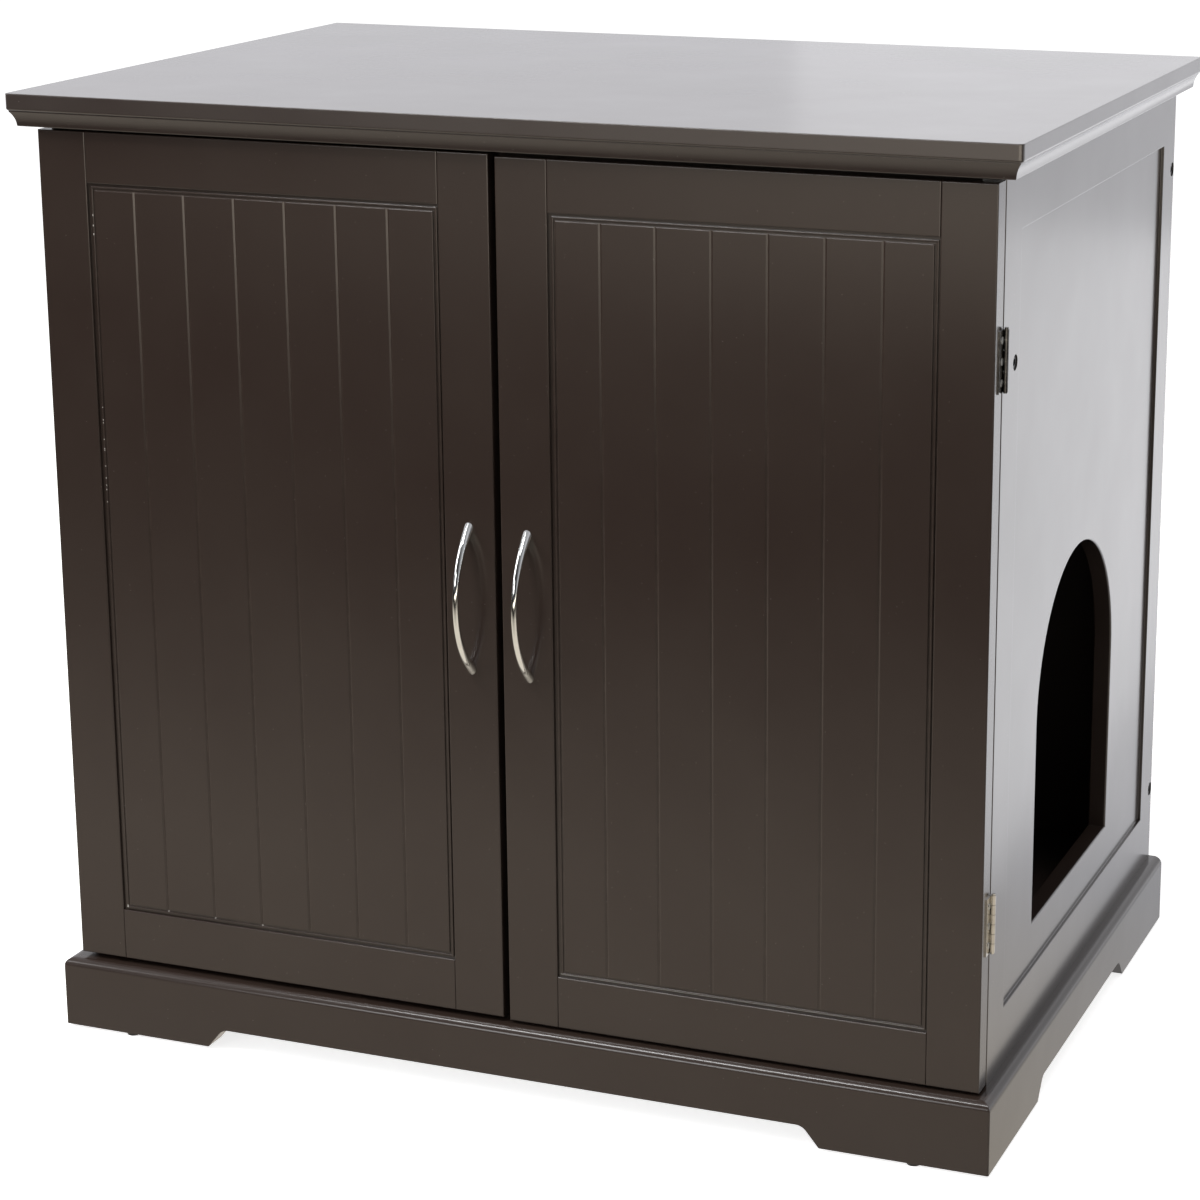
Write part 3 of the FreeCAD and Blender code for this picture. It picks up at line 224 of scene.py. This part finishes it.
def blend_colour(tree, share, below, above):
    """Below where the share is 0, above where it is 1; each is a colour or a socket."""
    mix = put(tree, "ShaderNodeMix", own={"data_type": "RGBA"})
    wire(tree, share, mix.inputs["Factor"])
    for socket, source in ((mix.inputs[6], below), (mix.inputs[7], above)):
        if isinstance(source, tuple):
            socket.default_value = (*source, 1.0)
        else:
            wire(tree, source, socket)
    return mix.outputs[2]


def close_material(tree, shader, height, depth, smooth=None):
    """Bump the surface by a height, over its own or a smoother normal, and put it out."""
    bump = put(tree, "ShaderNodeBump", inputs={"Strength": 1.0, "Distance": depth})
    wire(tree, height, bump.inputs["Height"])
    if smooth:
        wire(tree, smooth, bump.inputs["Normal"])
    wire(tree, bump.outputs["Normal"], shader.inputs["Normal"])
    out = put(tree, "ShaderNodeOutputMaterial")
    wire(tree, shader.outputs[0], out.inputs["Surface"])


def stretched_grain(tree, point, stretch, scale, detail):
    """Fine noise, drawn out along the axes whose stretch is small."""
    mapping = put(tree, "ShaderNodeMapping")
    mapping.inputs["Scale"].default_value = stretch
    wire(tree, point, mapping.inputs["Vector"])
    return noise(tree, mapping.outputs["Vector"], scale, detail, 0.6)


# ------------------------------------------------------------------ materials
RUBBED_LACQUER = (0.16, 0.12, 0.1)
DUST_COLOUR = (0.5, 0.48, 0.45)
# The colour of pale dots and of the painted highlights on the door panels.
PALE_DOT_AND_HIGHLIGHT = (0.45, 0.43, 0.4)
# The colour of the painted highlights along metal arrises.
METAL_EDGE_HIGHLIGHT = (0.85, 0.84, 0.82)
GLOSS_SPREAD = 0.03
PEEL_DEPTH = 0.02 * MM
NO_STRETCH = (1.0, 1.0, 1.0)


def lacquer(name, colours, roughness, coat, coat_roughness, wear=0.35, dust=0.3, sheen=0.25,
            dots_and_highlights=()):
    """Sprayed espresso lacquer on board, rubbed paler along its arrises, with any pale dots and
    painted highlights.
    """
    material, tree = new_material(name)
    point = put(tree, "ShaderNodeTexCoord").outputs["Object"]
    peel_group = place_group(tree, ORANGE_PEEL)
    wear_group = place_group(tree, EDGE_WEAR_AND_HIGHLIGHT, Amount=wear)
    dust_group = place_group(tree, DUST, Amount=dust)
    for group in (peel_group, wear_group, dust_group):
        wire(tree, point, group.inputs["Point"])
    tint = blend_colour(tree, peel_group.outputs["Mottle"], *colours)
    tint = blend_colour(tree, wear_group.outputs["Mask"], tint, RUBBED_LACQUER)
    tint = blend_colour(tree, dust_group.outputs["Mask"], tint, DUST_COLOUR)
    # Pale dots and painted highlights, each in its own window.
    for paleness, window in dots_and_highlights:
        dot_group = place_group(tree, PALE_DOTS_AND_HIGHLIGHTS, **window)
        wire(tree, point, dot_group.inputs["Point"])
        pale = tuple(paleness * share for share in PALE_DOT_AND_HIGHLIGHT)
        tint = blend_colour(tree, dot_group.outputs["Mask"], tint, pale)
    shader = put(tree, "ShaderNodeBsdfPrincipled",
                 inputs={"Coat Weight": coat, "Coat Roughness": coat_roughness,
                         "Specular IOR Level": sheen})
    wire(tree, tint, shader.inputs["Base Color"])
    rough = ramp(tree, peel_group.outputs["Mottle"], 0.0, 1.0, roughness - GLOSS_SPREAD,
                 roughness + GLOSS_SPREAD)
    wire(tree, rough, shader.inputs["Roughness"])
    close_material(tree, shader, peel_group.outputs["Height"], PEEL_DEPTH,
                   wear_group.outputs["Soft Normal"])
    return material


def metal(name, colour, dark_colour, roughness, spread, scale, bump_depth=0.004 * MM,
          painted_edge_highlight=0.0):
    """Plated or bare metal with fine variation in its brightness and gloss, and any painted
    highlights along its arrises.
    """
    material, tree = new_material(name)
    point = put(tree, "ShaderNodeTexCoord").outputs["Object"]
    grain = stretched_grain(tree, point, NO_STRETCH, scale, 3.0)
    cloud = noise(tree, point, 120.0, 2.0, 0.5)
    tint = blend_colour(tree, ramp(tree, cloud, 0.35, 0.7), colour, dark_colour)
    # Painted highlights along the arrises, broken into dots.
    if painted_edge_highlight:
        edge_highlight = place_group(tree, EDGE_WEAR_AND_HIGHLIGHT, Radius=0.4 * MM, Breakup_Scale=300.0,
                             Amount=painted_edge_highlight)
        wire(tree, point, edge_highlight.inputs["Point"])
        tint = blend_colour(tree, edge_highlight.outputs["Mask"], tint, METAL_EDGE_HIGHLIGHT)
    shader = put(tree, "ShaderNodeBsdfPrincipled", inputs={"Metallic": 1.0})
    wire(tree, tint, shader.inputs["Base Color"])
    wire(tree, ramp(tree, grain, 0.3, 0.7, roughness - spread, roughness + spread),
         shader.inputs["Roughness"])
    close_material(tree, shader, grain, bump_depth)
    return material


def dull(name, colour, light_colour, roughness, scale, bump_depth=0.05 * MM, stretch=NO_STRETCH):
    """Plain moulded, sawn or rubbery stuff with a fine even texture."""
    material, tree = new_material(name)
    point = put(tree, "ShaderNodeTexCoord").outputs["Object"]
    grain = stretched_grain(tree, point, stretch, scale, 5.0)
    tint = blend_colour(tree, ramp(tree, grain, 0.3, 0.7), colour, light_colour)
    shader = put(tree, "ShaderNodeBsdfPrincipled", inputs={"Roughness": roughness})
    wire(tree, tint, shader.inputs["Base Color"])
    close_material(tree, shader, grain, bump_depth)
    return material


def door_mark(left, right, low, high, size=2.0, paleness=1.0):
    """A pale mark on a door's front, in millimetres: a dot, and where a size above 1 fills the
    window, a painted highlight.
    """
    window = {"Left": left * MM, "Right": right * MM, "Low": low * MM, "High": high * MM,
              "Size": size}
    return paleness, window


# Pale dots in the outer groove of the left panel, high and low, and painted highlights where its
# grooves end.
GROOVE_ENDS = (-256.3, -219.6, -182.9)
LEFT_PANEL_DOTS_AND_HIGHLIGHTS = [door_mark(-288.8, -288.1, 380.0, 452.0, size=0.055),
                    door_mark(-288.8, -288.1, 556.0, 582.0, size=0.09),
                    door_mark(-289.0, -288.0, 92.5, 94.5)]
LEFT_PANEL_DOTS_AND_HIGHLIGHTS += [door_mark(x - 0.5, x + 0.5, 93.8, 94.6) for x in GROOVE_ENDS]
# A painted highlight along the right panel's lower bead, from end to end.
RIGHT_PANEL_PAINTED_HIGHLIGHT = [door_mark(39.0, 290.0, 90.9, 91.8, paleness=0.55)]

ESPRESSO = ((0.0295, 0.0190, 0.0151), (0.034, 0.0232, 0.0184))
# The inside brown is lighter than the outside lacquer: partly its own finish, partly painted light
# for the little light that reaches inside.
INSIDE_BROWN_AND_PAINTED_LIGHT = ((0.045, 0.033, 0.028), (0.052, 0.038, 0.032))
POLISHED_DEPTH = 0.001 * MM
DOOR_GLOSS = {"roughness": 0.34, "coat": 1.0, "coat_roughness": 0.16, "sheen": 0.05}

DOOR_LACQUER = lacquer("door_lacquer", ESPRESSO, **DOOR_GLOSS)
CARCASS_LACQUER = lacquer("carcass_lacquer", ESPRESSO, 0.36, 1.0, 0.17)
LEFT_PANEL_LACQUER = lacquer("left_panel_lacquer", ESPRESSO, dots_and_highlights=LEFT_PANEL_DOTS_AND_HIGHLIGHTS, **DOOR_GLOSS)
RIGHT_PANEL_LACQUER = lacquer("right_panel_lacquer", ESPRESSO, dots_and_highlights=RIGHT_PANEL_PAINTED_HIGHLIGHT,
                              **DOOR_GLOSS)
PLINTH_LACQUER = lacquer("plinth_lacquer", ESPRESSO, 0.36, 0.8, 0.16, sheen=0.1)
TOP_LACQUER = lacquer("top_lacquer", ESPRESSO, 0.34, 1.0, 0.17, dust=0.5, sheen=0.5)
INSIDE_LACQUER = lacquer("inside_lacquer", INSIDE_BROWN_AND_PAINTED_LIGHT, 0.6, 0.0, 0.3, wear=0.1, dust=0.1)
BARE_WOOD = dull("bare_softwood", (0.42, 0.27, 0.15), (0.6, 0.42, 0.26), 0.7, 30.0,
                 bump_depth=0.2 * MM, stretch=(1.0, 12.0, 12.0))
HANDLE_CHROME = metal("handle_chrome", (0.86, 0.87, 0.86), (0.8, 0.81, 0.8), 0.09, 0.02, 400.0,
                      bump_depth=POLISHED_DEPTH)
# Hinge nickel with painted highlights along its arrises.
HINGE_NICKEL = metal("hinge_nickel", (0.62, 0.6, 0.56), (0.52, 0.5, 0.46), 0.16, 0.03, 500.0,
                     bump_depth=POLISHED_DEPTH, painted_edge_highlight=0.6)
# The upper hinge: nickel darkened as a painted dark reflection, with stronger painted highlights
# along its arrises.
UPPER_HINGE_SHADED_NICKEL = metal("dull_hinge_nickel", (0.13, 0.127, 0.125), (0.09, 0.088, 0.087), 0.16, 0.03,
                    500.0, bump_depth=POLISHED_DEPTH, painted_edge_highlight=1.0)
ZINC_STEEL = metal("zinc_steel", (0.62, 0.62, 0.6), (0.45, 0.45, 0.43), 0.32, 0.08, 700.0)
BLACK_STEEL = metal("black_screw_steel", (0.03, 0.03, 0.032), (0.015, 0.015, 0.016), 0.35, 0.08,
                    700.0)
MAGNET_METAL = metal("magnet_metal", (0.2, 0.2, 0.21), (0.12, 0.12, 0.12), 0.4, 0.08, 500.0)
BLACK_PLASTIC = dull("catch_plastic", (0.012, 0.012, 0.013), (0.02, 0.02, 0.021), 0.45, 600.0)
GLIDE_NYLON = dull("glide_nylon", (0.02, 0.018, 0.017), (0.032, 0.029, 0.027), 0.4, 500.0)
FELT = dull("bumper_felt", (0.35, 0.34, 0.32), (0.5, 0.49, 0.47), 0.95, 1500.0,
            bump_depth=0.1 * MM)

SLOT_FINISH = {
    "chrome": HANDLE_CHROME,
    "nickel": HINGE_NICKEL,
    "zinc_steel": ZINC_STEEL,
    "black_steel": BLACK_STEEL,
    "black_plastic": BLACK_PLASTIC,
    "magnet": MAGNET_METAL,
    "nylon": GLIDE_NYLON,
    "felt_dot": FELT,
    "raw_wood": BARE_WOOD,
    "inside_lacquer": INSIDE_LACQUER,
}


def finish_node(name, material):
    node = NODES[name]
    if not node.data.materials:
        node.data.materials.append(material)
    for index in range(len(node.data.materials)):
        node.data.materials[index] = material


NAMED_FINISH = {
    "floor_cleat": INSIDE_LACQUER,
    "left_door_panel": LEFT_PANEL_LACQUER,
    "right_door_panel": RIGHT_PANEL_LACQUER,
    "top_panel": TOP_LACQUER,
}


def finish_of(name, slot):
    """The finish of one piece: its own, its slot's, or the lacquer of where it is."""
    if name in NAMED_FINISH:
        return NAMED_FINISH[name]
    # The upper hinge takes the nickel darkened as a painted dark reflection.
    if slot == "nickel" and "upper" in name:
        return UPPER_HINGE_SHADED_NICKEL
    if slot in SLOT_FINISH:
        return SLOT_FINISH[slot]
    if "door" in name:
        return DOOR_LACQUER
    return PLINTH_LACQUER if name.startswith("plinth") else CARCASS_LACQUER


def dress_nodes():
    for entry in frame["record"]["subparts"]:
        finish_node(entry["node"], finish_of(entry["node"], entry["material_slot"]))


# ------------------------------------------------------------------ room and light
FLOOR_REACH = 14.0
WHITE = (1.0, 1.0, 1.0, 1.0)
COOL_WHITE = (0.96, 0.96, 1.0)
WARM_WHITE = (1.0, 0.9, 0.76)
# What glossy surfaces see on the floor: (depth from, depth to, dark, light) in metres and strength.
NEAR_ZONE = (-1.5, -0.6, 0.03, 0.78)
NEAR_ZONE_SIDES = (0.9, 1.6, 1.0, 0.1)
BEHIND_ZONE = (-0.45, 0.5, 0.0, 0.97)
FAR_ZONE = (-2.7, -4.1, 0.0, 1.0)
FAR_ZONE_ACROSS = (-2.6, -0.9, 0.0, 1.7)
FAR_RIGHT_ZONE = (-1.9, -3.6, 0.0, 1.0)
FAR_RIGHT_ACROSS = (0.1, 1.2, 0.0, 2.2)
WARM_TO_COOL = (-0.3, 0.3)
ROOM_LIGHT = 0.42
# How strongly glossy surfaces see the room, from its front half to its back half.
FRONT_TO_BACK = (-0.8, 0.3, 0.05, 0.87)


def by_ray(tree, path, usual, mirrored, seen):
    """One shader for glossy rays, one for camera rays and one for the rest."""
    first = put(tree, "ShaderNodeMixShader")
    wire(tree, path.outputs["Is Glossy Ray"], first.inputs["Fac"])
    wire(tree, usual.outputs[0], first.inputs[1])
    wire(tree, mirrored.outputs[0], first.inputs[2])
    second = put(tree, "ShaderNodeMixShader")
    wire(tree, path.outputs["Is Camera Ray"], second.inputs["Fac"])
    wire(tree, first.outputs[0], second.inputs[1])
    wire(tree, seen.outputs[0], second.inputs[2])
    return second.outputs[0]


def floor_zones(tree, across, depth):
    """The strength of the floor in glossy surfaces, from place to place."""
    beside = put(tree, "ShaderNodeMath", own={"operation": "ABSOLUTE"})
    wire(tree, across, beside.inputs[0])
    near = maths(tree, "MULTIPLY", ramp(tree, depth, *NEAR_ZONE),
                 ramp(tree, beside.outputs[0], *NEAR_ZONE_SIDES))
    behind = ramp(tree, depth, *BEHIND_ZONE)
    far = maths(tree, "MULTIPLY", ramp(tree, depth, *FAR_ZONE),
                ramp(tree, across, *FAR_ZONE_ACROSS))
    far_right = maths(tree, "MULTIPLY", ramp(tree, depth, *FAR_RIGHT_ZONE),
                      ramp(tree, across, *FAR_RIGHT_ACROSS))
    return maths(tree, "ADD", maths(tree, "MAXIMUM", near, behind),
                 maths(tree, "ADD", far, far_right))


def floor_material():
    """Pale and white to the camera; glossy surfaces see it in light and dark zones."""
    material, tree = new_material("studio_floor")
    path = put(tree, "ShaderNodeLightPath")
    parts = put(tree, "ShaderNodeSeparateXYZ")
    wire(tree, put(tree, "ShaderNodeNewGeometry").outputs["Position"], parts.inputs[0])
    across, depth = parts.outputs["X"], parts.outputs["Y"]
    paint = put(tree, "ShaderNodeBsdfDiffuse", inputs={"Color": (0.9, 0.9, 0.9, 1.0)})
    glow = put(tree, "ShaderNodeEmission", inputs={"Color": WHITE, "Strength": 0.8})
    seen = put(tree, "ShaderNodeAddShader")
    wire(tree, paint.outputs[0], seen.inputs[0])
    wire(tree, glow.outputs[0], seen.inputs[1])
    mirrored = put(tree, "ShaderNodeEmission")
    wire(tree, floor_zones(tree, across, depth), mirrored.inputs["Strength"])
    warmth = blend_colour(tree, ramp(tree, depth, *WARM_TO_COOL), WARM_WHITE, COOL_WHITE)
    wire(tree, warmth, mirrored.inputs["Color"])
    bounce = put(tree, "ShaderNodeBsdfDiffuse", inputs={"Color": (0.5, 0.49, 0.48, 1.0)})
    out = put(tree, "ShaderNodeOutputMaterial")
    wire(tree, by_ray(tree, path, bounce, mirrored, seen), out.inputs["Surface"])
    return material


def add_floor():
    mesh = bpy.data.meshes.new("studio_floor")
    form = bmesh.new()
    corners = [form.verts.new((x * FLOOR_REACH, y * FLOOR_REACH, 0.0))
               for x, y in ((-1, -1), (1, -1), (1, 1), (-1, 1))]
    form.faces.new(corners)
    form.to_mesh(mesh)
    form.free()
    mesh.materials.append(floor_material())
    floor = bpy.data.objects.new("studio_floor", mesh)
    bpy.context.scene.collection.objects.link(floor)


def add_world():
    """An even room; glossy surfaces see it white behind the object and dim in front."""
    world = bpy.data.worlds.new("studio_world")
    world.use_nodes = True
    tree = world.node_tree
    tree.nodes.clear()
    path = put(tree, "ShaderNodeLightPath")
    towards = put(tree, "ShaderNodeTexCoord").outputs["Generated"]
    parts = put(tree, "ShaderNodeSeparateXYZ")
    wire(tree, towards, parts.inputs[0])
    room = put(tree, "ShaderNodeBackground", inputs={"Strength": ROOM_LIGHT})
    mirrored = put(tree, "ShaderNodeBackground", inputs={"Color": (*COOL_WHITE, 1.0)})
    wire(tree, ramp(tree, parts.outputs["Y"], *FRONT_TO_BACK), mirrored.inputs["Strength"])
    white = put(tree, "ShaderNodeBackground")
    out = put(tree, "ShaderNodeOutputWorld")
    wire(tree, by_ray(tree, path, room, mirrored, white), out.inputs["Surface"])
    bpy.context.scene.world = world


def add_light(name, place, aim, size, power, mirrored=True):
    light = bpy.data.lights.new(name, "AREA")
    light.shape = "RECTANGLE"
    light.size, light.size_y = size
    light.energy = power
    lamp = bpy.data.objects.new(name, light)
    lamp.location = place
    heading = Vector(aim) - Vector(place)
    lamp.rotation_euler = heading.to_track_quat("-Z", "Y").to_euler()
    lamp.visible_camera = False
    lamp.visible_glossy = mirrored
    bpy.context.scene.collection.objects.link(lamp)


def add_lights():
    add_light("left_softbox", (-2.7, -1.7, 1.9), (0, 0, 0.3), (1.6, 1.6), 42.0)
    add_light("overhead_softbox", (-0.1, -0.8, 3.2), (-0.1, 0, 0), (3.4, 0.9), 36.0, mirrored=False)
    add_light("high_strip", (-0.75, -1.2, 2.4), (0, -0.2, 0.2), (1.1, 0.3), 24.0)
    add_light("front_softbox", (-1.35, -3.9, 1.35), (-0.1, 0, 0.4), (1.3, 1.0), 28.0)
    add_light("rear_backdrop_glow", (0.1, 3.2, 1.3), (0.1, 0, 1.3), (2.2, 1.4), 1.6)
    add_light("rear_floor_glow", (1.95, 1.7, 0.02), (1.95, 1.7, 2.0), (3.0, 3.0), 15.0)


add_camera()
dress_nodes()
add_floor()
add_world()
add_lights()
bpy.context.scene.view_settings.view_transform = "Standard"
